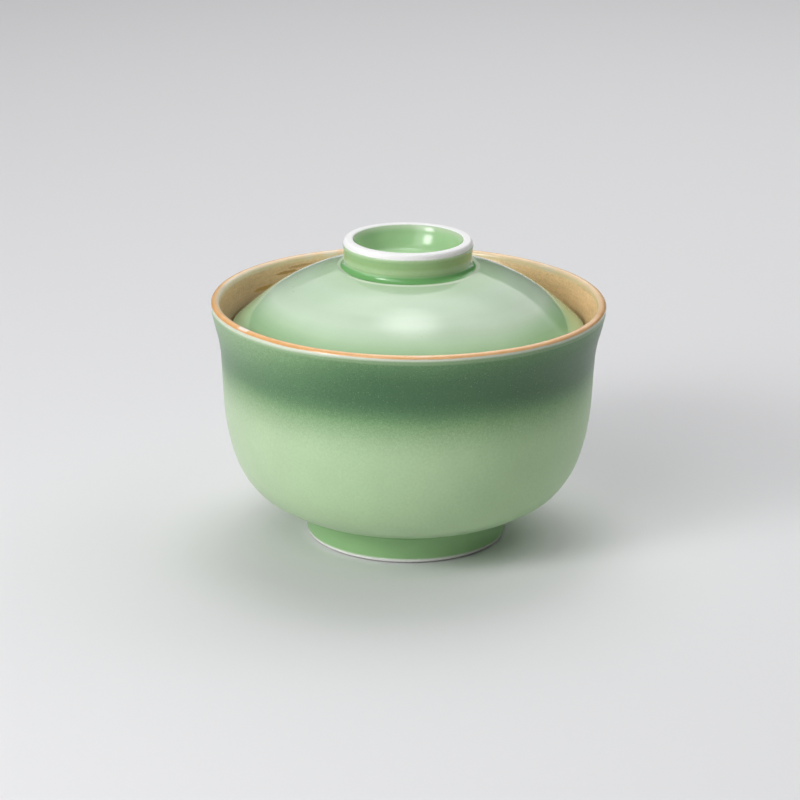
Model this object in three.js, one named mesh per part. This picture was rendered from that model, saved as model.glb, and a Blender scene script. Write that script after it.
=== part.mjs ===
// Lidded porcelain rice bowl, drawn in millimetres with +Z up.
//
// Origin: the centre of the foot ring's resting face, on the table plane.
// Both pieces are surfaces of revolution about the Z axis:
//   bowl  the thrown bowl, with its turned foot ring and thickened mouth, fired as one body
//   lid   the domed lid, with its ring-shaped knob, fired as one body
// The lid drops inside the flared mouth and rests on the inner wall below the rim.

import * as THREE from 'three';

// ---------------------------------------------------------------- driving dimensions (mm)
const SEGMENTS = 48;            // facets round the axis, the same for both pieces

const RIM_HEIGHT = 75.0;        // top of the bowl's lip above the table
const RIM_RADIUS = 60.2;        // widest point of the bowl, on the lip
const LIP_RADIUS = 1.3;         // the lip is rounded over to this radius
const WAIST_RADIUS = 56.9;      // upright part of the wall, below the flare
const FOOT_RADIUS = 29.9;       // outer edge of the resting face
const FOOT_INNER_RADIUS = 26.6; // inner edge of the resting face
const FOOT_HEIGHT = 8.7;        // where the foot meets the belly
const FOOT_RECESS = 6.8;        // depth of the hollow inside the foot ring
const FLOOR_HEIGHT = 12.7;      // inside floor of the bowl, on the axis

const SEAT_GAP = 0.3;           // clearance between the lid's edge and the wall it rests on
const LID_RADIUS = 53.8;        // outer radius of the lid's edge
const LID_EDGE_HEIGHT = 65.6;   // height of that widest line
const LID_UNDERSIDE = 83.6;     // underside of the lid, on the axis
const KNOB_RADIUS = 19.75;      // widest point of the knob ring
const KNOB_TOP = 93.7;          // top face of the knob ring
const KNOB_FLAT_OUTER = 19.05;  // outer edge of that flat face
const KNOB_FLAT_INNER = 16.9;   // inner edge of that flat face
const WELL_FLOOR = 88.2;        // floor of the hollow inside the knob ring

// ---------------------------------------------------------------- profile helpers
// A profile is a list of [radius, height] pairs. Straight runs and corners are
// given as they are, and free curves are drawn as splines through a few points.
function spline(points, count) {
  const curve = new THREE.SplineCurve(points.map(([r, z]) => new THREE.Vector2(r, z)));
  return curve.getSpacedPoints(count).map((p) => [p.x, p.y]);
}

function arc(cr, cz, radius, fromDeg, toDeg, count) {
  const out = [];
  for (let i = 0; i <= count; i++) {
    const a = THREE.MathUtils.degToRad(fromDeg + ((toDeg - fromDeg) * i) / count);
    out.push([cr + radius * Math.cos(a), cz + radius * Math.sin(a)]);
  }
  return out;
}

// Joins runs of profile points, and drops a point that repeats the one before it.
function join(...runs) {
  const out = [];
  for (const run of runs) {
    for (const [r, z] of run) {
      const last = out[out.length - 1];
      if (last && Math.hypot(last[0] - r, last[1] - z) < 0.05) continue;
      out.push([r, z]);
    }
  }
  return out;
}

function revolve(profile) {
  const geometry = new THREE.LatheGeometry(
    profile.map(([r, z]) => new THREE.Vector2(Math.max(r, 0), z)), SEGMENTS);
  geometry.rotateX(Math.PI / 2);
  return geometry;
}

// ---------------------------------------------------------------- bowl
// From the axis under the foot, out over the foot ring, up the outside, over the
// lip, and down the inside to the floor.
const bowlProfile = join(
  [[0, FOOT_RECESS - 0.4]],
  spline([[8, FOOT_RECESS - 0.35], [16, FOOT_RECESS - 0.1], [22.5, FOOT_RECESS - 0.4], [24.9, FOOT_RECESS - 2.0], [25.6, FOOT_RECESS - 4.0]], 5),
  [[FOOT_INNER_RADIUS - 0.6, 0.7], [FOOT_INNER_RADIUS, 0]],
  [[FOOT_RADIUS, 0], [FOOT_RADIUS + 0.35, 0.6]],
  [[30.45, 3.5], [30.6, FOOT_HEIGHT - 1.9], [31.1, FOOT_HEIGHT - 0.6]],
  spline([
    [32.2, 9.25], [35.2, 10.05], [38.0, 11.05], [41.1, 12.5], [43.9, 14.1], [46.6, 16.05],
    [48.5, 18.05], [50.0, 20.0], [52.25, 24.0], [54.33, 30.0], [55.94, 38.0], [56.7, 47.0],
    [WAIST_RADIUS + 0.14, 55.0], [57.71, 62.0], [58.75, 66.5], [59.75, 70.4],
    [RIM_RADIUS, RIM_HEIGHT - LIP_RADIUS - 0.2],
  ], 22),
  arc(RIM_RADIUS - LIP_RADIUS, RIM_HEIGHT - LIP_RADIUS, LIP_RADIUS, 0, 180, 6),
  spline([
    [RIM_RADIUS - 2 * LIP_RADIUS - 0.1, RIM_HEIGHT - LIP_RADIUS - 0.3], [57.1, 72.3], [56.1, 69.9],
    [54.95, 67.4], [LID_RADIUS + SEAT_GAP - 0.08, LID_EDGE_HEIGHT], [53.65, 63.0], [53.45, 58.0], [53.3, 52.0], [52.9, 44.0],
    [51.9, 35.5], [50.0, 28.0], [47.2, 22.6], [43.0, 18.3], [36.5, 15.2], [28.0, 13.6],
    [18.0, 12.95], [8.0, FLOOR_HEIGHT + 0.05],
  ], 20),
  [[0, FLOOR_HEIGHT]],
);

// ---------------------------------------------------------------- lid
// From the axis under the lid, out along the underside, round the edge, up the
// dome, over the knob ring, and back down into the hollow inside it.
const lidProfile = join(
  [[0, LID_UNDERSIDE]],
  spline([
    [8, LID_UNDERSIDE - 0.25], [16, LID_UNDERSIDE - 1.05], [24, 80.7], [32, 78.0], [38, 75.15], [43, 72.0],
    [47, 69.0], [49.5, 66.9], [50.75, 65.5],
  ], 9),
  spline([[50.95, 64.8], [51.6, 64.25], [52.6, 64.3], [53.4, 64.8], [LID_RADIUS, LID_EDGE_HEIGHT], [53.75, 66.2]], 6),
  spline([
    [53.3, 66.75], [52, 67.95], [48, 71.45], [45, 73.88], [42, 76.13], [39, 78.06], [36, 79.74],
    [33, 81.05], [28, 83.0], [22.4, 84.85],
  ], 11),
  [[20.9, 85.45], [19.95, 86.1], [19.5, 86.9]],
  [[19.45, 88.2], [KNOB_RADIUS, 91.4], [KNOB_RADIUS - 0.1, 92.3], [KNOB_RADIUS - 0.35, 93.1]],
  [[KNOB_FLAT_OUTER, KNOB_TOP], [KNOB_FLAT_INNER, KNOB_TOP]],
  spline([[16.5, 93.35], [15.9, 92.2], [14.7, 90.5], [12.9, 89.1], [10.4, 88.45], [6.0, WELL_FLOOR + 0.05]], 6),
  [[0, WELL_FLOOR]],
);

// ---------------------------------------------------------------- materials
const bowlGlaze = new THREE.MeshStandardMaterial({ color: 0x8fae85, roughness: 0.42, metalness: 0.0 });
const lidGlaze = new THREE.MeshStandardMaterial({ color: 0xbcdcb4, roughness: 0.14, metalness: 0.0 });

const bowl = new THREE.Mesh(revolve(bowlProfile), bowlGlaze);
bowl.name = 'bowl';

const lid = new THREE.Mesh(revolve(lidProfile), lidGlaze);
lid.name = 'lid';

const group = new THREE.Group();
group.name = 'rice_bowl';
group.add(bowl);
group.add(lid);

export default group;
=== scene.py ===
import math

import bpy
import numpy as np
from mathutils import Matrix, Vector


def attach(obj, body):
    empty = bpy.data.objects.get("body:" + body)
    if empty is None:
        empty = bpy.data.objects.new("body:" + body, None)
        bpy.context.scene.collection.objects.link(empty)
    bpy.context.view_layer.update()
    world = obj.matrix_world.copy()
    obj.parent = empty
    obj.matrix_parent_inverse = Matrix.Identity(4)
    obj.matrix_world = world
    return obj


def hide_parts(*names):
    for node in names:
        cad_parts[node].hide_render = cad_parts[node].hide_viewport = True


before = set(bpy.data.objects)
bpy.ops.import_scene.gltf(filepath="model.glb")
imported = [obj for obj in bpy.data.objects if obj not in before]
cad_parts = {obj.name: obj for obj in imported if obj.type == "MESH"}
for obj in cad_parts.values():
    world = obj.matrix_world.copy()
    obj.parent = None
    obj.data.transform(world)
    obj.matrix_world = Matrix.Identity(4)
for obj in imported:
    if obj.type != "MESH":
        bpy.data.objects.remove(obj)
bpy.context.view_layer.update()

# =====================================================================================
# Profiles, in millimetres as (radius, height). A profile runs from the axis below the
# piece, out along its underside, up its outside, over the top and back to the axis.
# =====================================================================================
SEGMENTS = 256

RIM_RADIUS, RIM_HEIGHT, LIP = 60.2, 75.0, 1.3
FOOT_RADIUS, FOOT_INNER = 29.9, 26.6
LID_RADIUS, LID_EDGE = 53.8, 65.6
KNOB_TOP = 93.7


def natural_spline(points, step):
    """Points about `step` mm apart along a smooth curve through the given points."""
    p = np.array(points, float)
    t = np.concatenate([[0], np.cumsum(np.maximum(np.linalg.norm(np.diff(p, axis=0), axis=1), 1e-6) ** 0.75)])
    n = len(p)
    a = np.zeros((n, n))
    b = np.zeros((n, 2))
    a[0, 0] = a[-1, -1] = 1
    for i in range(1, n - 1):
        h0, h1 = t[i] - t[i - 1], t[i + 1] - t[i]
        a[i, i - 1], a[i, i], a[i, i + 1] = h0, 2 * (h0 + h1), h1
        b[i] = 6 * ((p[i + 1] - p[i]) / h1 - (p[i] - p[i - 1]) / h0)
    m = np.linalg.solve(a, b)

    def at(u):
        i = np.clip(np.searchsorted(t, u, side="right") - 1, 0, n - 2)
        h = (t[i + 1] - t[i])[:, None]
        x0, x1 = (t[i + 1] - u)[:, None], (u - t[i])[:, None]
        return (m[i] * x0 ** 3 + m[i + 1] * x1 ** 3) / (6 * h) + (p[i] / h - m[i] * h / 6) * x0 + (p[i + 1] / h - m[i + 1] * h / 6) * x1

    fine = at(np.linspace(t[0], t[-1], 4000))
    s = np.concatenate([[0], np.cumsum(np.linalg.norm(np.diff(fine, axis=0), axis=1))])
    k = max(2, int(round(s[-1] / step)) + 1)
    want = np.linspace(0, s[-1], k)
    return np.stack([np.interp(want, s, fine[:, 0]), np.interp(want, s, fine[:, 1])], -1)


def arc(cr, cz, r, a0, a1, step):
    k = max(3, int(abs(math.radians(a1 - a0)) * r / step) + 1)
    a = np.radians(np.linspace(a0, a1, k))
    return np.stack([cr + r * np.cos(a), cz + r * np.sin(a)], -1)


def line(p, q, step):
    p, q = np.array(p, float), np.array(q, float)
    k = max(2, int(np.linalg.norm(q - p) / step) + 1)
    return p + (q - p) * np.linspace(0, 1, k)[:, None]


class Profile:
    """Joins runs of points, and keeps the arc length at the start of each named run."""

    def __init__(self):
        self.points, self.marks = [], {}

    def length(self):
        p = np.array(self.points)
        return float(np.linalg.norm(np.diff(p, axis=0), axis=1).sum()) if len(p) > 1 else 0.0

    def run(self, name, pts):
        for q in np.asarray(pts, float):
            if self.points and np.linalg.norm(np.array(self.points[-1]) - q) < 0.02:
                continue
            self.points.append((float(q[0]), float(q[1])))
            if name and name not in self.marks:
                self.marks[name] = None
                self.marks[name] = self.length()
        return self

    def finish(self):
        self.marks["end"] = self.length()
        return np.array(self.points), self.marks


# ------------------------------------------------------------------ bowl profile
def bowl_profile():
    p = Profile()
    p.run("recess", [[0, 6.4]])
    p.run(None, natural_spline([[0.8, 6.4], [8, 6.45], [16, 6.7], [21.8, 6.55], [24.3, 5.5], [25.45, 3.6], [25.75, 2.0]], 1.1))
    p.run("foot_in", line([25.78, 1.7], [25.95, 1.0], 0.25))          # the glaze stops here
    p.run("foot_face_in", arc(26.65, 0.7, 0.7, 180, 270, 0.18))
    p.run("foot_face", line([26.9, 0.0], [29.0, 0.0], 0.5))
    p.run("foot_face_out", natural_spline([[29.1, 0.0], [29.6, 0.07], [30.0, 0.22], [30.3, 0.43]], 0.1))   # rounded outer corner
    p.run("foot_line", natural_spline([[30.34, 0.47], [30.58, 0.76], [30.72, 1.08]], 0.1))                 # bare line above it
    p.run("foot_glaze", natural_spline([[30.74, 1.16], [30.82, 1.55], [30.87, 2.2], [30.9, 3.4], [30.92, 4.9], [31.0, 6.6], [31.15, 7.6], [31.5, 8.45], [32.3, 9.15]], 0.3))
    p.run("belly", natural_spline([
        [32.3, 9.15], [35.2, 10.02], [38.0, 11.05], [41.1, 12.5], [43.9, 14.12], [46.6, 16.05], [48.5, 18.05],
        [50.0, 20.0], [52.25, 24.0], [54.33, 30.0], [55.94, 38.0], [56.7, 47.0], [57.04, 55.0], [57.71, 62.0],
        [58.75, 66.5], [59.62, 70.0], [60.05, 72.2], [60.2, 73.5]], 0.62))
    p.run("lip", arc(58.9, 73.7, LIP, 4, 176, 0.16))
    p.run("lip_in", natural_spline([
        [57.58, 73.55], [57.4, 73.0], [57.12, 72.35], [56.72, 71.5], [56.1, 69.95], [54.97, 67.35], [54.14, 65.3], [53.72, 63.2],
        [53.48, 58.0], [53.3, 52.0], [52.9, 44.0], [51.9, 35.5], [50.0, 28.0], [47.2, 22.6], [43.0, 18.3],
        [36.5, 15.2], [28.0, 13.6], [18.0, 12.95], [8.0, 12.75], [0.8, 12.7]], 0.85))
    p.run("centre", [[0, 12.7]])
    return p.finish()


# ------------------------------------------------------------------ lid profile
def lid_profile():
    p = Profile()
    p.run("under", [[0, 83.6]])
    p.run(None, natural_spline([
        [0.8, 83.6], [8, 83.35], [16, 82.55], [24, 80.7], [32, 78.0], [38, 75.15], [43, 72.0], [47, 69.0],
        [49.5, 66.95], [50.55, 65.9]], 0.95))
    p.run("edge", natural_spline([[50.55, 65.9], [50.95, 65.1], [51.5, 64.5], [52.3, 64.3], [53.1, 64.5], [53.62, 65.05],
                                  [53.86, 65.75], [53.72, 66.35], [53.3, 66.78]], 0.2))
    p.run("dome", natural_spline([
        [53.3, 66.78], [52, 67.93], [50, 69.73], [48, 71.45], [45, 73.88], [42, 76.13], [39, 78.06], [36, 79.72],
        [33, 81.14], [30.5, 82.2], [28, 83.1], [25, 84.06], [23.2, 84.64], [22.1, 85.0]], 0.5))
    p.run("channel", natural_spline([[22.05, 85.04], [21.6, 85.12], [21.15, 85.1], [20.7, 85.1], [20.25, 85.28], [19.88, 85.68], [19.63, 86.3],
                                     [19.54, 86.95]], 0.12))
    p.run("knob", natural_spline([[19.55, 87.0], [19.62, 87.15], [19.6, 87.4], [19.53, 88.0], [19.56, 89.3], [19.68, 90.7], [19.76, 91.3],
                                  [19.78, 91.62]], 0.25))
    p.run("bead", natural_spline([[19.78, 91.62], [19.76, 91.85], [19.62, 92.02]], 0.1))      # rolled edge of the glaze
    p.run("bare", natural_spline([[19.6, 92.1], [19.56, 92.6], [19.42, 93.05], [19.2, 93.4], [18.95, 93.62], [18.6, KNOB_TOP]], 0.16))
    p.run("flat", line([18.55, KNOB_TOP], [17.25, KNOB_TOP], 0.4))
    p.run("bare_in", natural_spline([[17.15, KNOB_TOP], [16.92, 93.62], [16.78, 93.45]], 0.12))
    p.run("well", natural_spline([
        [16.72, 93.42], [16.64, 93.34], [16.50, 93.10], [16.28, 92.68], [16.08, 92.25], [15.90, 91.75], [15.70, 91.1], [15.45, 90.4],
        [15.16, 89.7], [14.84, 89.0], [14.5, 88.3], [14.13, 87.65], [13.68, 87.08], [13.1, 86.66], [12.3, 86.42], [11.2, 86.36], [9.8, 86.44],
        [9.0, 86.52], [8.5, 86.58], [7.9, 86.52], [7.2, 86.47], [6.4, 86.51], [5.8, 86.59], [5.2, 86.53], [4.4, 86.48], [3.7, 86.53],
        [3.2, 86.61], [2.6, 86.55], [1.8, 86.5], [0.5, 86.53]], 0.22))
    p.run("centre", [[0, 86.53]])
    return p.finish()


def lathe(name, profile, wobble):
    """A closed mesh of revolution with the arc length along its profile as a point attribute."""
    rz = profile
    seg = np.linalg.norm(np.diff(rz, axis=0), axis=1)
    s = np.concatenate([[0], np.cumsum(seg)])
    ring = rz[1:-1]
    ang = np.arange(SEGMENTS) * 2 * math.pi / SEGMENTS
    r = ring[:, 0][:, None] + np.zeros(SEGMENTS)
    z = ring[:, 1][:, None] + np.zeros(SEGMENTS)
    dr, dz = wobble(r, z, ang[None, :], s[1:-1][:, None])
    r, z = r + dr, z + dz
    co = np.stack([r * np.cos(ang), r * np.sin(ang), z], -1).reshape(-1, 3)
    co = np.vstack([co, [[0, 0, rz[0, 1]], [0, 0, rz[-1, 1]]]]) / 1000.0
    first, last = len(co) - 2, len(co) - 1
    n = len(ring)
    faces = []
    for i in range(n - 1):
        a, b = i * SEGMENTS, (i + 1) * SEGMENTS
        for j in range(SEGMENTS):
            k = (j + 1) % SEGMENTS
            faces.append((a + j, a + k, b + k, b + j))
    for j in range(SEGMENTS):
        k = (j + 1) % SEGMENTS
        faces.append((first, k, j))
        faces.append((last, (n - 1) * SEGMENTS + j, (n - 1) * SEGMENTS + k))
    me = bpy.data.meshes.new(name)
    me.from_pydata(co.tolist(), [], faces)
    me.update()
    at = me.attributes.new("arc_mm", "FLOAT", "POINT")
    values = np.concatenate([np.repeat(s[1:-1], SEGMENTS), [s[0], s[-1]]]).astype(np.float32)
    at.data.foreach_set("value", values)
    me.polygons.foreach_set("use_smooth", [True] * len(me.polygons))
    ob = bpy.data.objects.new(name, me)
    bpy.context.scene.collection.objects.link(ob)
    return ob


def ramp01(x, lo, hi):
    t = np.clip((x - lo) / (hi - lo), 0, 1)
    return t * t * (3 - 2 * t)


def bowl_wobble(r, z, a, s):
    """The slight unevenness of a hand-finished pot: none at the seat and on the resting face."""
    outside = (s < BM["lip"]) & (s > BM["foot_glaze"])
    rise = ramp01(z, 8, 30)
    soft = 0.05 * np.cos(2 * a + 0.7) + 0.03 * np.cos(3 * a + 2.1) + 0.014 * np.cos(7 * a + 0.4)
    rings = 0.012 * np.sin(z * 1.15 + 0.5 * np.sin(a)) + 0.008 * np.sin(z * 2.3 + 1.1)
    dr = np.where(outside, (soft - 0.09) * rise + rings * rise, 0.0)
    lip = ramp01(s, BM["lip"] - 6, BM["lip"] + 0.5) * (1 - ramp01(s, BM["lip_in"] - 0.5, BM["lip_in"] + 4.0))
    over = (s >= BM["lip"]) & (s < BM["lip_in"] + 4)
    dr = np.where(over, (soft - 0.09) * (1 - ramp01(s, BM["lip_in"] - 1.0, BM["lip_in"] + 4.0)), dr)
    dz = lip * (0.03 * np.cos(2 * a + 1.9) + 0.018 * np.cos(5 * a + 0.3) + 0.01 * np.cos(11 * a + 1.2) - 0.06)
    return dr, dz


def lid_wobble(r, z, a, s):
    dome = (s > LM["dome"]) & (s < LM["bead"])
    rings = 0.010 * np.sin(r * 1.6 + 0.8 * np.sin(a + 1.0)) * ramp01(r, 22, 27) * (1 - ramp01(r, 47, 52))
    slow = 0.018 * np.cos(2 * a + 0.3) * ramp01(r, 22, 30) * (1 - ramp01(r, 47, 52))
    knob = ramp01(s, LM["channel"] - 1.5, LM["channel"] + 2.5)
    dr = -0.33 * np.cos(a) * knob * ramp01(r, 2, 12)
    return dr, np.where(dome, rings + slow - 0.02 * ramp01(r, 22, 30) * (1 - ramp01(r, 47, 52)), 0.0)


bowl_points, BM = bowl_profile()
lid_points, LM = lid_profile()
bowl = lathe("bowl_body", bowl_points, bowl_wobble)
lid = lathe("lid_body", lid_points, lid_wobble)


# =====================================================================================
# Materials. Every distance in the node trees is in millimetres.
# =====================================================================================
class Graph:
    """Small helpers for writing node trees."""

    def __init__(self, name):
        self.mat = bpy.data.materials.new(name)
        self.mat.use_nodes = True
        self.tree = self.mat.node_tree
        self.tree.nodes.clear()
        self.out = self.node("ShaderNodeOutputMaterial")
        self.bsdf = self.node("ShaderNodeBsdfPrincipled")
        self.tree.links.new(self.bsdf.outputs[0], self.out.inputs[0])
        tc = self.node("ShaderNodeTexCoord")
        self.pos = self.vmath("SCALE", tc.outputs["Object"], scale=1000.0)
        sep = self.node("ShaderNodeSeparateXYZ")
        self.link(self.pos, sep.inputs[0])
        self.x, self.y, self.z = sep.outputs
        at = self.node("ShaderNodeAttribute")
        at.attribute_name = "arc_mm"
        self.arc = at.outputs["Fac"]

    def node(self, kind, **props):
        n = self.tree.nodes.new(kind)
        for k, v in props.items():
            setattr(n, k, v)
        return n

    def link(self, a, b):
        if isinstance(a, (int, float)):
            b.default_value = a
        elif isinstance(a, (tuple, list)):
            b.default_value = tuple(a) if len(a) != 3 or b.type != "RGBA" else (*a, 1.0)
        else:
            self.tree.links.new(a, b)

    def math(self, op, a, b=0.0, c=None, clamp=False):
        n = self.node("ShaderNodeMath", operation=op, use_clamp=clamp)
        self.link(a, n.inputs[0])
        self.link(b, n.inputs[1])
        if c is not None:
            self.link(c, n.inputs[2])
        return n.outputs[0]

    def add(self, a, b): return self.math("ADD", a, b)
    def sub(self, a, b): return self.math("SUBTRACT", a, b)
    def mul(self, a, b): return self.math("MULTIPLY", a, b)

    def vmath(self, op, a, b=None, scale=None):
        n = self.node("ShaderNodeVectorMath", operation=op)
        self.link(a, n.inputs[0])
        if b is not None:
            self.link(b, n.inputs[1])
        if scale is not None:
            self.link(scale, n.inputs["Scale"])
        return n.outputs[0]

    def vec(self, x, y, z):
        n = self.node("ShaderNodeCombineXYZ")
        for v, s in zip((x, y, z), n.inputs):
            self.link(v, s)
        return n.outputs[0]

    def step(self, x, lo, hi, out_lo=0.0, out_hi=1.0):
        """A smooth step from out_lo at lo to out_hi at hi."""
        n = self.node("ShaderNodeMapRange", interpolation_type="SMOOTHSTEP", clamp=True)
        self.link(x, n.inputs[0])
        for v, i in ((lo, 1), (hi, 2), (out_lo, 3), (out_hi, 4)):
            self.link(v, n.inputs[i])
        return n.outputs[0]

    def linear(self, x, lo, hi, out_lo=0.0, out_hi=1.0):
        n = self.node("ShaderNodeMapRange", interpolation_type="LINEAR", clamp=True)
        self.link(x, n.inputs[0])
        for v, i in ((lo, 1), (hi, 2), (out_lo, 3), (out_hi, 4)):
            self.link(v, n.inputs[i])
        return n.outputs[0]

    def window(self, x, a, b, soft):
        """1 between a and b, with soft edges."""
        return self.mul(self.step(x, a - soft, a + soft), self.step(x, b - soft, b + soft, 1.0, 0.0))

    def noise(self, vec, scale, detail=2.0, rough=0.5, distortion=0.0, dims="3D"):
        n = self.node("ShaderNodeTexNoise", noise_dimensions=dims)
        self.link(vec, n.inputs["Vector"])
        n.inputs["Scale"].default_value = scale
        n.inputs["Detail"].default_value = detail
        n.inputs["Roughness"].default_value = rough
        n.inputs["Distortion"].default_value = distortion
        return n.outputs["Fac"]

    def voronoi(self, vec, scale, feature="F1", randomness=1.0, output="Distance"):
        n = self.node("ShaderNodeTexVoronoi", feature=feature)
        self.link(vec, n.inputs["Vector"])
        n.inputs["Scale"].default_value = scale
        n.inputs["Randomness"].default_value = randomness
        return n.outputs[output]

    def ramp(self, x, stops, mode="LINEAR"):
        """Piecewise value: stops are (position, value) with position from 0 to 1."""
        n = self.node("ShaderNodeValToRGB")
        n.color_ramp.interpolation = mode
        e = n.color_ramp.elements
        while len(e) > 1:
            e.remove(e[-1])
        e[0].position = stops[0][0]
        first = stops[0][1]
        e[0].color = (*first, 1) if isinstance(first, tuple) else (first, first, first, 1)
        for pos, v in stops[1:]:
            k = e.new(pos)
            k.color = (*v, 1) if isinstance(v, tuple) else (v, v, v, 1)
        self.link(x, n.inputs[0])
        return n.outputs[0]

    def curve(self, x, pairs, mode="EASE"):
        """A value that follows (x, value) pairs."""
        lo, hi = pairs[0][0], pairs[-1][0]
        t = self.linear(x, lo, hi)
        return self.ramp(t, [((a - lo) / (hi - lo), b) for a, b in pairs], mode)

    def mix(self, fac, a, b, kind="MIX"):
        n = self.node("ShaderNodeMix", data_type="RGBA", blend_type=kind)
        self.link(fac, n.inputs[0])
        self.link(a, n.inputs[6])
        self.link(b, n.inputs[7])
        return n.outputs[2]

    def blend(self, fac, a, b):
        """Value mix."""
        n = self.node("ShaderNodeMix", data_type="FLOAT")
        self.link(fac, n.inputs[0])
        self.link(a, n.inputs[2])
        self.link(b, n.inputs[3])
        return n.outputs[0]

    def tint(self, colour, value, amount):
        """Makes a colour lighter or darker by amount times (value - 0.5)."""
        k = self.add(self.mul(self.sub(value, 0.5), amount), 1.0)
        n = self.node("ShaderNodeVectorMath", operation="SCALE")
        self.link(colour, n.inputs[0])
        self.link(k, n.inputs["Scale"])
        return n.outputs[0]

    def bump(self, height, distance_mm, strength=1.0, normal=None):
        n = self.node("ShaderNodeBump")
        n.inputs["Strength"].default_value = strength
        n.inputs["Distance"].default_value = distance_mm / 1000.0
        self.link(height, n.inputs["Height"])
        if normal is not None:
            self.link(normal, n.inputs["Normal"])
        return n.outputs[0]


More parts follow.
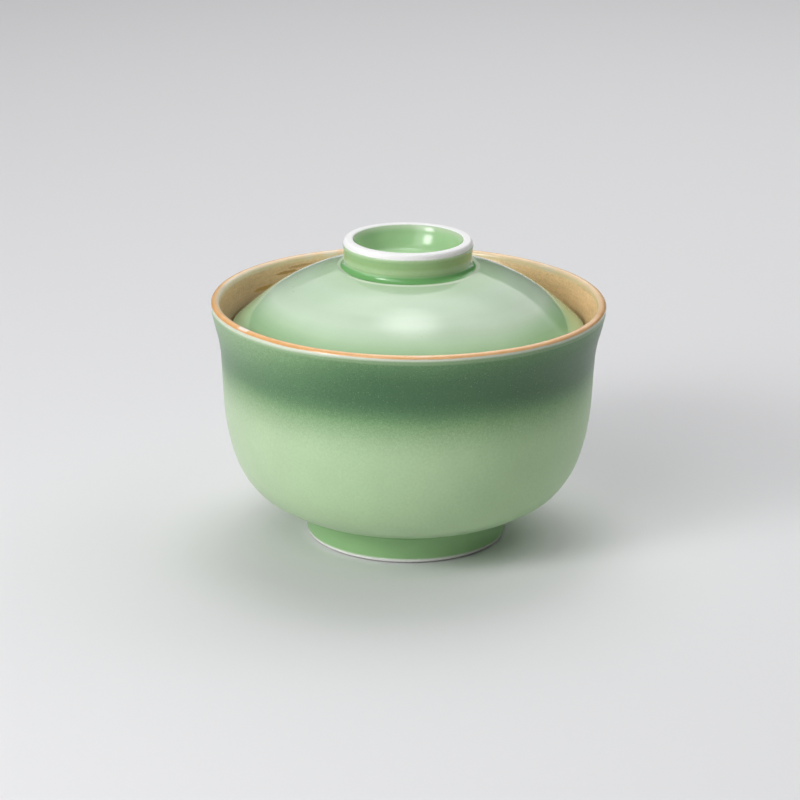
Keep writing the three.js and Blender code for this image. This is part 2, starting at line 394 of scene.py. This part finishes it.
# ------------------------------------------------------------------ bowl glazes
def bowl_material():
    g = Graph("bowl_glazes")
    P, z, s = g.pos, g.z, g.arc
    # slow sideways drift of every edge, so that no glaze line is a perfect circle
    flat = g.vec(g.x, g.y, 0.0)
    drift = g.sub(g.noise(flat, 0.035, 3.0, 0.55), 0.5)
    ragged = g.sub(g.noise(P, 0.55, 3.0, 0.6), 0.5)

    # --- outside: light celadon under a sprayed dark green band
    base = (0.452, 0.638, 0.366)
    dark = (0.048, 0.142, 0.055)
    zz = g.add(z, g.mul(drift, 2.2))
    band = g.curve(zz, [(40, 0.0), (43, 0.03), (46, 0.10), (49, 0.25), (52, 0.45), (55, 0.72), (57.5, 0.91), (60, 0.99),
                        (64, 0.99), (67, 0.955), (69.5, 0.88), (71.3, 0.79), (73, 0.70)], "LINEAR")
    # painted sheen: the dark band is lighter on the left, most of all near the lip, where the key light falls
    lit_left_sheen = g.step(g.add(g.mul(g.x, -0.99 / 58.0), g.mul(g.y, -0.14 / 58.0)), 0.25, 1.0)
    band = g.mul(band, g.sub(1.0, g.mul(lit_left_sheen, g.add(0.15, g.mul(g.step(z, 58.0, 71.0), 0.24)))))
    grain = g.noise(P, 1.5, 2.0, 0.7)
    fine = g.noise(P, 3.6, 1.0, 0.6)
    edge = g.mul(g.mul(band, g.sub(1.0, band)), 4.0)
    speck = g.add(g.mul(g.sub(grain, 0.5), 0.24), g.mul(g.sub(fine, 0.5), 0.38))
    band_n = g.math("ADD", band, g.mul(speck, g.add(g.mul(edge, 0.85), 0.50)), clamp=True)
    outside = g.ramp(band_n, [(0.0, base), (0.25, (0.325, 0.500, 0.262)), (0.50, (0.208, 0.372, 0.168)), (0.75, (0.112, 0.248, 0.100)), (1.0, dark)])
    cloud = g.noise(P, 0.09, 3.0, 0.5)
    outside = g.tint(outside, cloud, 0.10)
    outside = g.tint(outside, g.noise(P, 1.3, 3.0, 0.75), 0.22)
    # painted sheen: the glaze is whiter on the left, where the key light falls
    outside = g.mix(g.mul(lit_left_sheen, 0.9), outside, g.vmath("MULTIPLY", outside, (1.07, 1.0, 1.10)))
    # painted shade: the glaze is darker and greener on the right, away from the key light
    shade_mask = g.step(g.add(g.mul(g.x, 0.94 / 58.0), g.mul(g.y, -0.34 / 58.0)), 0.35, 1.0)
    outside = g.mix(shade_mask, outside, g.vmath("MULTIPLY", outside, (0.92, 0.98, 0.88)))
    # thicker, deeper glaze over the foot wall; the crease in its fillet is darker still, partly pooled glaze and partly
    # painted shade
    pool = g.window(s, BM["foot_glaze"] + 0.2, BM["belly"] + 0.2, 0.9)
    outside = g.mix(g.mul(pool, 0.88), outside, (0.275, 0.515, 0.215))
    crease_pool_and_shade = g.window(s, BM["belly"] - 1.9, BM["belly"] + 0.15, 0.45)
    outside = g.mix(g.mul(crease_pool_and_shade, 0.70), outside, (0.105, 0.330, 0.085))
    # lighter band just under the lip, with a distinct lower edge: partly thinner glaze, partly painted reflection of
    # the lights on the lip's curve
    s1 = g.add(s, g.mul(drift, 0.5))
    under_lip_glaze_and_sheen = g.step(s1, BM["lip"] - 1.75, BM["lip"] - 1.15)
    outside = g.mix(g.mul(under_lip_glaze_and_sheen, 0.45), outside, (0.34, 0.47, 0.27))
    pin = g.step(g.noise(P, 3.1, 0.0, 0.5), 0.76, 0.82)
    outside = g.mix(g.mul(g.mul(pin, band), 0.30), outside, (0.55, 0.68, 0.50))
    # pale line along the lip's outer edge, where thin glaze shows the white body; on the left it is wider and reaches
    # lower, as painted highlight from the key light
    pale_edge_and_highlight = g.step(g.add(s1, g.mul(ragged, 0.20)), g.add(BM["lip"] - 0.60, g.mul(lit_left_sheen, -0.75)), BM["lip"] + 0.10)
    outside = g.mix(g.mul(pale_edge_and_highlight, g.add(0.68, g.mul(lit_left_sheen, 0.02))), outside, (0.85, 0.88, 0.77))

    # --- iron-brown lip, saturated on its outer edge and pale on top and inside
    s2 = g.add(g.add(s, g.mul(drift, 0.35)), g.mul(ragged, 0.30))
    lip_mask = g.step(s2, BM["lip"] + 0.22, BM["lip"] + 0.62)
    sl = g.linear(g.add(s, g.mul(g.sub(g.noise(P, 0.22, 3.0, 0.6), 0.5), 1.5)), BM["lip"], BM["lip"] + 5.0)
    iron = g.ramp(sl, [(0.0, (0.78, 0.40, 0.165)), (0.13, (0.82, 0.46, 0.210)), (0.24, (0.88, 0.53, 0.275)), (0.34, (0.93, 0.61, 0.350)),
                       (0.46, (0.95, 0.69, 0.440)), (0.58, (0.96, 0.73, 0.490)), (0.70, (0.96, 0.75, 0.500)), (0.82, (0.95, 0.73, 0.470)), (1.0, (0.93, 0.68, 0.405))])
    # painted light and shade on the left of the lip, where the key light falls: the outer part darker and more orange,
    # the inner edge a pale painted highlight
    lit_left_lip = g.step(g.add(g.mul(g.x, -0.90 / 58.0), g.mul(g.y, -0.43 / 58.0)), 0.15, 0.95)
    iron = g.mix(g.mul(lit_left_lip, g.step(s, BM["lip"] + 1.9, BM["lip"] + 2.6, 0.9, 0.0)), iron, g.vmath("MULTIPLY", iron, (0.96, 0.88, 0.72)))
    iron = g.mix(g.mul(lit_left_lip, g.step(s, BM["lip"] + 2.1, BM["lip"] + 3.2, 0.0, 0.85)), iron, (0.95, 0.86, 0.75))
    iron = g.tint(iron, g.noise(flat, 0.16, 3.0, 0.6), 0.16)
    iron = g.tint(iron, g.noise(P, 1.1, 2.0, 0.6), 0.10)
    def painted_glint(azimuth, length, strength):
        """A painted highlight: a pale spot on the lip standing for a glint of light on thick glaze."""
        a = math.radians(azimuth)
        along = g.add(g.mul(g.x, -math.sin(a) / length), g.mul(g.y, math.cos(a) / length))
        front = g.step(g.add(g.mul(g.x, math.cos(a)), g.mul(g.y, math.sin(a))), 20.0, 30.0)
        return g.mul(g.mul(g.step(g.add(g.mul(along, along), g.mul(ragged, 2.2)), 0.10, 1.2, 1.0, 0.0), front), strength)

    # painted highlights: pale glints on the lip, the strongest at the front left
    lip_glints = painted_glint(-145.0, 2.8, 0.80)
    for args in ((116.0, 2.6, 0.40), (124.0, 1.6, 0.25), (-86.0, 3.0, 0.15), (40.0, 4.0, 0.25)):
        lip_glints = g.math("MAXIMUM", lip_glints, painted_glint(*args))
    glint_mask = g.mul(lip_glints, g.window(s2, BM["lip"] + 0.9, BM["lip_in"] + 0.6, 0.4))
    iron = g.mix(glint_mask, iron, (0.95, 0.90, 0.84))
    colour = g.mix(lip_mask, outside, iron)

    # --- inside: tan glaze with fine throwing lines and a fine mottle
    lines = g.noise(g.vec(g.mul(g.x, 0.10), g.mul(g.y, 0.10), g.mul(s, 0.85)), 2.0, 3.0, 0.65)
    broad = g.noise(g.vec(g.mul(g.x, 0.04), g.mul(g.y, 0.04), g.mul(s, 0.25)), 1.6, 2.0, 0.5)
    # painted shadow of the lid: the inside darkens towards the lid's edge, darkest 8 to 10 mm below the lip (stops 0.18
    # and 0.21)
    tan = g.ramp(g.linear(s, BM["lip_in"], BM["lip_in"] + 46.0), [
        (0.0, (0.90, 0.650, 0.385)), (0.02, (0.87, 0.590, 0.330)), (0.05, (0.82, 0.535, 0.295)), (0.10, (0.765, 0.480, 0.258)), (0.145, (0.675, 0.412, 0.222)),
        (0.18, (0.48, 0.280, 0.140)), (0.21, (0.42, 0.250, 0.120)), (0.27, (0.64, 0.420, 0.205)), (1.0, (0.70, 0.475, 0.235))])
    tan = g.tint(tan, lines, 0.40)
    tan = g.tint(tan, broad, 0.12)
    tan = g.tint(tan, g.noise(g.vec(g.x, g.y, g.mul(z, 0.8)), 1.5, 2.0, 0.7), 0.42)
    tan = g.tint(tan, g.noise(g.vec(g.mul(g.x, 0.3), g.mul(g.y, 0.3), g.mul(s, 2.2)), 2.2, 1.0, 0.5), 0.16)
    # painted light and shade: the inside is lighter on the right, which faces the key light, and darker and bluer on
    # the left, most of all below the lip
    side = g.add(g.mul(g.x, 0.94 / 56.0), g.mul(g.y, 0.34 / 56.0))
    tan = g.tint(tan, g.add(0.47, g.mul(side, 0.5)), 0.36)
    tan = g.mix(g.mul(g.step(side, 0.2, -1.0, 0.0, 0.55), g.step(s, BM["lip_in"] - 0.5, BM["lip_in"] + 4.5, 0.30, 1.0)), tan, g.vmath("MULTIPLY", tan, (0.66, 0.72, 0.82)))
    # painted shade: the left of the inner wall, from 5 to 7 mm below the lip's inner edge downwards, is darkened
    # towards brown
    painted_dark_band = g.mul(g.step(side, 0.1, -0.9), g.step(s, BM["lip_in"] + 5.0, BM["lip_in"] + 7.2))
    tan = g.mix(g.mul(painted_dark_band, 0.30), tan, (0.16, 0.10, 0.055))
    crackle = g.voronoi(g.vec(g.mul(g.x, 1.0), g.mul(g.y, 1.0), g.mul(z, 1.25)), 0.62, "DISTANCE_TO_EDGE")
    crack = g.step(crackle, 0.0, 0.045, 1.0, 0.0)
    tan = g.mix(g.mul(crack, 0.16), tan, (0.34, 0.20, 0.08))

    def dash(azimuth, height, length, width, strength):
        """A short brush-like brown mark along the wall."""
        a = math.radians(azimuth)
        along = g.add(g.mul(g.x, -math.sin(a) / length), g.mul(g.y, math.cos(a) / length))
        front = g.step(g.add(g.mul(g.x, math.cos(a)), g.mul(g.y, math.sin(a))), 20.0, 30.0)
        up = g.mul(g.sub(g.add(z, g.mul(ragged, 0.9)), height), 1.0 / width)
        d = g.add(g.mul(along, along), g.mul(up, up))
        return g.mul(g.mul(g.step(d, 0.35, 1.15, 1.0, 0.0), front), strength)

    brown_marks = dash(127.5, 72.0, 5.5, 0.42, 0.60)
    for args in ((133.5, 70.9, 5.0, 0.55, 0.85), (145.5, 68.35, 6.0, 0.62, 0.95), (17.0, 73.15, 7.0, 0.40, 0.35),
                 (58.0, 68.6, 7.0, 0.45, 0.35), (-128.0, 70.2, 6.0, 0.40, 0.45), (-40.0, 71.6, 5.0, 0.35, 0.40)):
        brown_marks = g.math("MAXIMUM", brown_marks, dash(*args))
    tan = g.mix(brown_marks, tan, (0.40, 0.215, 0.062))
    s3 = g.add(g.add(s, g.mul(drift, 0.6)), g.mul(ragged, 0.45))
    inside = g.step(s3, BM["lip_in"] - 0.40, BM["lip_in"] + 0.90)
    colour = g.mix(inside, colour, tan)

    # --- bare white porcelain on the foot
    s4 = g.add(s, g.mul(ragged, 0.22))
    clay = g.mul(g.step(s4, BM["foot_in"], BM["foot_in"] + 0.2), g.step(s4, BM["foot_glaze"] - 0.05, BM["foot_glaze"] + 0.75, 1.0, 0.0))
    clay_colour = g.tint((0.93, 0.91, 0.895), g.noise(P, 1.3, 4.0, 0.6), 0.10)
    ring = g.window(s, BM["foot_face"], BM["foot_face_out"] + 0.3, 0.5)
    clay_colour = g.mix(g.mul(ring, 0.35), clay_colour, (0.58, 0.56, 0.53))
    # painted shade: the rounded corner above the resting face is darkened, standing for the contact shadow against the
    # floor
    painted_contact_shade = g.window(s, BM["foot_face_out"] + 0.15, BM["foot_line"] + 0.05, 0.22)
    clay_colour = g.mix(g.mul(painted_contact_shade, 0.70), clay_colour, (0.20, 0.18, 0.18))
    colour = g.mix(clay, colour, clay_colour)
    g.link(colour, g.bsdf.inputs["Base Color"])

    # --- gloss: satin outside, glossy lip, satin inside, dry foot
    rough = g.add(0.32, g.mul(g.sub(g.noise(P, 0.9, 3.0, 0.6), 0.5), 0.08))
    rough = g.blend(g.step(s2, BM["lip"] - 0.5, BM["lip"] + 0.4), rough, 0.13)
    rough = g.blend(inside, rough, 0.26)
    rough = g.blend(clay, rough, 0.80)
    g.link(rough, g.bsdf.inputs["Roughness"])
    g.bsdf.inputs["IOR"].default_value = 1.56

    h = g.add(g.mul(g.noise(P, 0.8, 3.0, 0.55), 0.6), g.mul(g.noise(P, 3.0, 2.0, 0.6), 0.18))
    h = g.add(h, g.mul(clay, g.mul(g.noise(P, 4.5, 3.0, 0.7), 1.2)))
    h = g.add(h, g.mul(inside, g.mul(lines, 0.5)))
    h = g.sub(h, g.mul(g.mul(crack, inside), 0.25))
    g.link(g.bump(h, 0.05, 0.55), g.bsdf.inputs["Normal"])
    return g.mat


# ------------------------------------------------------------------ lid glaze
def lid_material():
    g = Graph("lid_glazes")
    P, z, s = g.pos, g.z, g.arc
    drift = g.sub(g.noise(g.vec(g.x, g.y, 0.0), 0.05, 3.0, 0.55), 0.5)
    ragged = g.sub(g.noise(P, 0.8, 3.0, 0.6), 0.5)
    # along the arc from the rim of the lid up to the knob
    sd = g.linear(g.add(s, g.mul(drift, 1.5)), LM["edge"], LM["channel"])
    cel = g.ramp(sd, [(0.0, (0.40, 0.61, 0.32)), (0.12, (0.405, 0.615, 0.335)), (0.22, (0.40, 0.61, 0.345)), (0.31, (0.405, 0.615, 0.37)),
                      (0.40, (0.53, 0.725, 0.50)), (0.50, (0.60, 0.755, 0.575)), (0.60, (0.545, 0.69, 0.52)), (0.70, (0.52, 0.675, 0.49)),
                      (0.80, (0.515, 0.67, 0.49)), (0.90, (0.485, 0.655, 0.44)), (1.0, (0.495, 0.665, 0.445))])
    # painted reflection: the glaze is darkened low on the two sides of the dome, more on the right, where the bowl's
    # wall shows in it
    painted_dark_band = g.window(s, LM["dome"] + 3.0, LM["dome"] + 12.5, 2.6)
    cel = g.mix(g.mul(painted_dark_band, g.step(g.x, 26.0, 44.0)), cel, g.vmath("MULTIPLY", cel, (0.80, 0.88, 0.80)))
    cel = g.mix(g.mul(painted_dark_band, g.step(g.x, -44.0, -26.0, 1.0, 0.0)), cel, g.vmath("MULTIPLY", cel, (0.91, 0.94, 0.89)))
    colour = g.tint(cel, g.noise(P, 0.12, 3.0, 0.5), 0.07)
    colour = g.tint(colour, g.noise(P, 1.6, 2.0, 0.65), 0.05)
    # glaze pools in the channel round the knob, and runs deeper on the knob wall and in the well
    s1 = g.add(s, g.mul(ragged, 0.10))
    across = g.step(g.math("ABSOLUTE", g.x), 12.0, 21.0, 0.0, 0.95)
    s1 = g.sub(s1, across)
    channel = g.mul(g.step(s1, LM["channel"] + 0.40, LM["channel"] + 0.85), g.step(s, LM["knob"] - 0.9, LM["knob"] + 0.25, 1.0, 0.0))
    # painted reflection: a pale line where the dome meets the channel, standing for the bright edge of the knob's
    # reflection
    colour = g.mix(g.mul(g.window(s1, LM["channel"] - 0.6, LM["channel"] + 0.42, 0.25), 0.65), colour, (0.76, 0.84, 0.68))
    knob = g.step(s, LM["knob"] - 0.9, LM["knob"] + 0.25)
    # knob wall bands: the lighter band low on the wall is painted reflection of the dome
    wall = g.ramp(g.linear(s, LM["knob"], LM["bare"]), [(0.0, (0.36, 0.555, 0.265)), (0.25, (0.385, 0.575, 0.29)), (0.45, (0.325, 0.525, 0.240)),
                                                         (0.75, (0.335, 0.545, 0.265)), (0.93, (0.45, 0.625, 0.375)), (1.0, (0.56, 0.69, 0.49))])
    colour = g.mix(knob, colour, g.tint(wall, g.noise(P, 0.9, 3.0, 0.6), 0.12))
    colour = g.mix(g.mul(channel, 0.95), colour, (0.185, 0.475, 0.155))
    well = g.step(s, LM["well"], LM["well"] + 1.6)
    basin = g.ramp(g.linear(s, LM["well"], LM["centre"]), [(0.0, (0.54, 0.71, 0.47)), (0.10, (0.42, 0.65, 0.355)), (0.25, (0.40, 0.64, 0.335)),
                                                            (0.45, (0.42, 0.66, 0.36)), (1.0, (0.48, 0.69, 0.42))])
    colour = g.mix(well, colour, g.tint(basin, g.noise(P, 0.25, 2.0, 0.5), 0.10))
    # small dark iron specks and a few pale ones
    def specks(scale, share, radius):
        cell = g.voronoi(P, scale, "F1")
        sep = g.node("ShaderNodeSeparateColor")
        g.link(g.voronoi(P, scale, "F1", output="Color"), sep.inputs[0])
        size = g.linear(sep.outputs[1], 0.0, 1.0, radius * 0.45, radius)
        spot = g.step(g.sub(cell, size), -0.6 * radius, 0.3 * radius, 1.0, 0.0)
        return g.mul(spot, g.step(sep.outputs[0], 1.0 - share, 1.0 - share + 0.01))
    spot = specks(0.21, 0.42, 0.056)
    glint = specks(0.13, 0.12, 0.034)
    colour = g.mix(g.mul(spot, 0.78), colour, (0.14, 0.21, 0.10))
    colour = g.mix(g.mul(glint, 0.70), colour, (0.90, 0.92, 0.86))
    # bare white porcelain on the knob ring
    clay = g.window(g.add(s, g.mul(ragged, 0.16)), LM["bare"] - 0.05, LM["well"] - 0.05, 0.14)
    clay_colour = g.tint((0.955, 0.955, 0.96), g.noise(P, 1.4, 4.0, 0.6), 0.05)
    colour = g.mix(clay, colour, clay_colour)
    g.link(colour, g.bsdf.inputs["Base Color"])
    rough = g.add(0.028, g.mul(g.noise(P, 0.4, 2.0, 0.5), 0.02))
    rough = g.blend(well, rough, 0.15)
    rough = g.blend(clay, rough, 0.50)
    g.link(rough, g.bsdf.inputs["Roughness"])
    g.bsdf.inputs["IOR"].default_value = 1.52
    h = g.add(g.mul(g.noise(P, 0.14, 2.0, 0.5), 2.0), g.mul(g.noise(P, 0.5, 2.0, 0.5), 0.25))
    h = g.add(h, g.mul(clay, g.mul(g.noise(P, 4.5, 3.0, 0.7), 1.2)))
    h = g.sub(h, g.mul(spot, 0.5))
    g.link(g.bump(h, 0.03, 0.5), g.bsdf.inputs["Normal"])
    return g.mat


bowl.data.materials.append(bowl_material())
lid.data.materials.append(lid_material())

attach(bowl, "bowl_body")
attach(lid, "lid_body")
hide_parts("bowl")
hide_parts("lid")


# =====================================================================================
# Stage, light and camera
# =====================================================================================
def stage_material():
    m = bpy.data.materials.new("stage_grey")
    m.use_nodes = True
    b = m.node_tree.nodes["Principled BSDF"]
    b.inputs["Base Color"].default_value = (0.80, 0.80, 0.815, 1)
    b.inputs["Roughness"].default_value = 0.9
    b.inputs["Specular IOR Level"].default_value = 0.2
    t = m.node_tree
    geo, sep = t.nodes.new("ShaderNodeNewGeometry"), t.nodes.new("ShaderNodeSeparateXYZ")
    # painted shade: to reflections the stage turns dark from 0.9 m to 1.7 m behind the bowl, standing for the unlit
    # room
    shade_mask = t.nodes.new("ShaderNodeMapRange")
    shade_mask.inputs[1].default_value, shade_mask.inputs[2].default_value = 0.9, 1.7
    rays, both = t.nodes.new("ShaderNodeLightPath"), t.nodes.new("ShaderNodeMath")
    both.operation = "MULTIPLY"
    mix = t.nodes.new("ShaderNodeMix")
    mix.data_type = "RGBA"
    mix.inputs[6].default_value = (0.805, 0.805, 0.82, 1)
    mix.inputs[7].default_value = (0.22, 0.22, 0.225, 1)
    t.links.new(geo.outputs["Position"], sep.inputs[0])
    t.links.new(sep.outputs[1], shade_mask.inputs[0])
    t.links.new(shade_mask.outputs[0], both.inputs[0])
    t.links.new(rays.outputs["Is Glossy Ray"], both.inputs[1])
    t.links.new(both.outputs[0], mix.inputs[0])
    t.links.new(mix.outputs[2], b.inputs["Base Color"])
    # painted light: beyond the reach of the softboxes the stage glows, for camera rays only, so it still reads as pale
    # paper to the camera
    flat, dist = t.nodes.new("ShaderNodeVectorMath"), t.nodes.new("ShaderNodeVectorMath")
    flat.operation, dist.operation = "MULTIPLY", "LENGTH"
    flat.inputs[1].default_value = (1, 1, 0)
    camera_glow, seen = t.nodes.new("ShaderNodeMapRange"), t.nodes.new("ShaderNodeMath")
    camera_glow.interpolation_type, seen.operation = "SMOOTHSTEP", "MULTIPLY"
    camera_glow.inputs[1].default_value, camera_glow.inputs[2].default_value = 1.0, 2.7
    camera_glow.inputs[3].default_value, camera_glow.inputs[4].default_value = 0.0, 0.46
    t.links.new(geo.outputs["Position"], flat.inputs[0])
    t.links.new(flat.outputs[0], dist.inputs[0])
    t.links.new(dist.outputs["Value"], camera_glow.inputs[0])
    t.links.new(camera_glow.outputs[0], seen.inputs[0])
    t.links.new(rays.outputs["Is Camera Ray"], seen.inputs[1])
    t.links.new(seen.outputs[0], b.inputs["Emission Strength"])
    b.inputs["Emission Color"].default_value = (0.99, 0.99, 1.0, 1)
    return m


def sweep():
    """A floor that curves up into a wall a long way behind."""
    prof = [(-3.0, 0.0), (1.6, 0.0)]
    prof += [(1.6 + 1.2 * math.sin(t), 1.2 - 1.2 * math.cos(t)) for t in np.linspace(0.05, math.pi / 2, 24)]
    co, faces = [], []
    for y, z in prof:
        co += [(-4.0, y, z), (4.0, y, z)]
    for i in range(len(prof) - 1):
        faces.append((2 * i, 2 * i + 1, 2 * i + 3, 2 * i + 2))
    me = bpy.data.meshes.new("stage_floor")
    me.from_pydata(co, [], faces)
    me.update()
    me.polygons.foreach_set("use_smooth", [True] * len(me.polygons))
    ob = bpy.data.objects.new("stage_floor", me)
    bpy.context.scene.collection.objects.link(ob)
    me.materials.append(stage_material())
    return ob


sweep()


def area(name, azimuth, elevation, distance, size_x, size_y, radiance, soft=0.0, edges=None, target=(0, 0, 0.05), seen=True):
    """A softbox: azimuth from +X towards +Y. radiance is in the same units as a white surface's.
    soft fades it radially; edges=(side, lower, upper) fades each edge over that share of the box."""
    a, e = math.radians(azimuth), math.radians(elevation)
    d = Vector((math.cos(a) * math.cos(e), math.sin(a) * math.cos(e), math.sin(e)))
    data = bpy.data.lights.new(name, "AREA")
    data.shape = "RECTANGLE"
    data.size, data.size_y = size_x, size_y
    data.energy = radiance * math.pi * size_x * size_y
    if soft or edges:
        data.use_nodes = True
        t = data.node_tree
        em = t.nodes["Emission"]
        geo = t.nodes.new("ShaderNodeNewGeometry")

        def fade(value, lo, hi, out_lo, out_hi):
            mr = t.nodes.new("ShaderNodeMapRange")
            mr.interpolation_type = "SMOOTHSTEP"
            for v, i in ((lo, 1), (hi, 2), (out_lo, 3), (out_hi, 4)):
                mr.inputs[i].default_value = v
            t.links.new(value, mr.inputs[0])
            return mr.outputs[0]

        def times(p, q):
            m = t.nodes.new("ShaderNodeMath")
            m.operation = "MULTIPLY"
            t.links.new(p, m.inputs[0])
            t.links.new(q, m.inputs[1])
            return m.outputs[0]

        if soft:
            sub = t.nodes.new("ShaderNodeVectorMath")
            sub.operation = "SUBTRACT"
            sub.inputs[1].default_value = (0.5, 0.5, 0.0)
            ln = t.nodes.new("ShaderNodeVectorMath")
            ln.operation = "LENGTH"
            t.links.new(geo.outputs["Parametric"], sub.inputs[0])
            t.links.new(sub.outputs[0], ln.inputs[0])
            level = fade(ln.outputs["Value"], 0.5 - soft * 0.5, 0.5, 1.0, 0.0)
        else:
            side, lower, upper = edges
            sep = t.nodes.new("ShaderNodeSeparateXYZ")
            t.links.new(geo.outputs["Parametric"], sep.inputs[0])
            u, v = sep.outputs[0], sep.outputs[1]
            level = times(fade(u, 0.0, side, 0.0, 1.0), fade(u, 1.0 - side, 1.0, 1.0, 0.0))
            level = times(level, times(fade(v, 0.0, lower, 0.0, 1.0), fade(v, 1.0 - upper, 1.0, 1.0, 0.0)))
        t.links.new(level, em.inputs["Strength"])
    ob = bpy.data.objects.new(name, data)
    ob.location = Vector(target) + d * distance
    ob.rotation_euler = (-d).to_track_quat("-Z", "Y").to_euler()
    bpy.context.scene.collection.objects.link(ob)
    ob.visible_camera = False
    ob.visible_glossy = seen
    return ob


# overhead softbox, and a broad diffuser above and behind
area("top_softbox", 88, 79.5, 1.25, 0.74, 0.74, 5.0, soft=0.9)
area("back_diffuser", 80, 50, 1.4, 2.5, 1.5, 1.06, edges=(0.40, 0.06, 0.25))
area("high_diffuser", 88, 64, 1.3, 1.7, 1.0, 1.30, edges=(0.45, 0.35, 0.4))
# key from the front left, with its spill
area("key_softbox", -140, 30, 1.1, 0.58, 0.58, 14.9, soft=0.85)
area("key_side", -120, 30, 1.1, 0.7, 0.7, 2.26, soft=0.5)
area("key_upper", -120, 52, 1.1, 0.7, 0.7, 2.06, soft=0.5)
area("key_low", -152, 7, 1.1, 1.6, 0.5, 2.4, edges=(0.3, 0.3, 0.5))
# weak fills that are not seen in the glaze
area("fill_back_right", 30, 40, 1.3, 0.9, 0.9, 1.34, soft=0.5, seen=False)
area("fill_right", -12, 58, 1.3, 1.0, 1.0, 0.95, soft=0.5, seen=False)

# the room: dark to the lights and reflections, pale where the camera sees past the backdrop
world = bpy.data.worlds.new("studio")
world.use_nodes = True
wt = world.node_tree
bg = wt.nodes["Background"]
rays = wt.nodes.new("ShaderNodeLightPath")
level = wt.nodes.new("ShaderNodeMapRange")
level.inputs[3].default_value = 0.055
level.inputs[4].default_value = 0.60
wt.links.new(rays.outputs["Is Camera Ray"], level.inputs[0])
wt.links.new(level.outputs[0], bg.inputs["Strength"])
bg.inputs["Color"].default_value = (0.99, 0.99, 1.0, 1)
bpy.context.scene.world = world

cam_data = bpy.data.cameras.new("camera")
cam = bpy.data.objects.new("camera", cam_data)
bpy.context.scene.collection.objects.link(cam)
cam_data.sensor_width = 36.0
cam_data.lens = 2803.1 / 800.0 * 36.0
cam_data.shift_x = -0.5 / 800.0
cam_data.shift_y = -0.5 / 800.0
cam_data.clip_start = 0.01
cam_data.clip_end = 50
cam.matrix_world = (Matrix.Translation(Vector((-0.002155, -0.8194, 0.3152)))
                    @ Matrix.Rotation(math.radians(90 - 18.426), 4, "X")
                    @ Matrix.Rotation(math.radians(0.592), 4, "Z"))
bpy.context.scene.camera = cam

scene = bpy.context.scene
scene.view_settings.view_transform = "Standard"
scene.view_settings.look = "None"
scene.view_settings.exposure = 0.0
scene.view_settings.gamma = 1.0
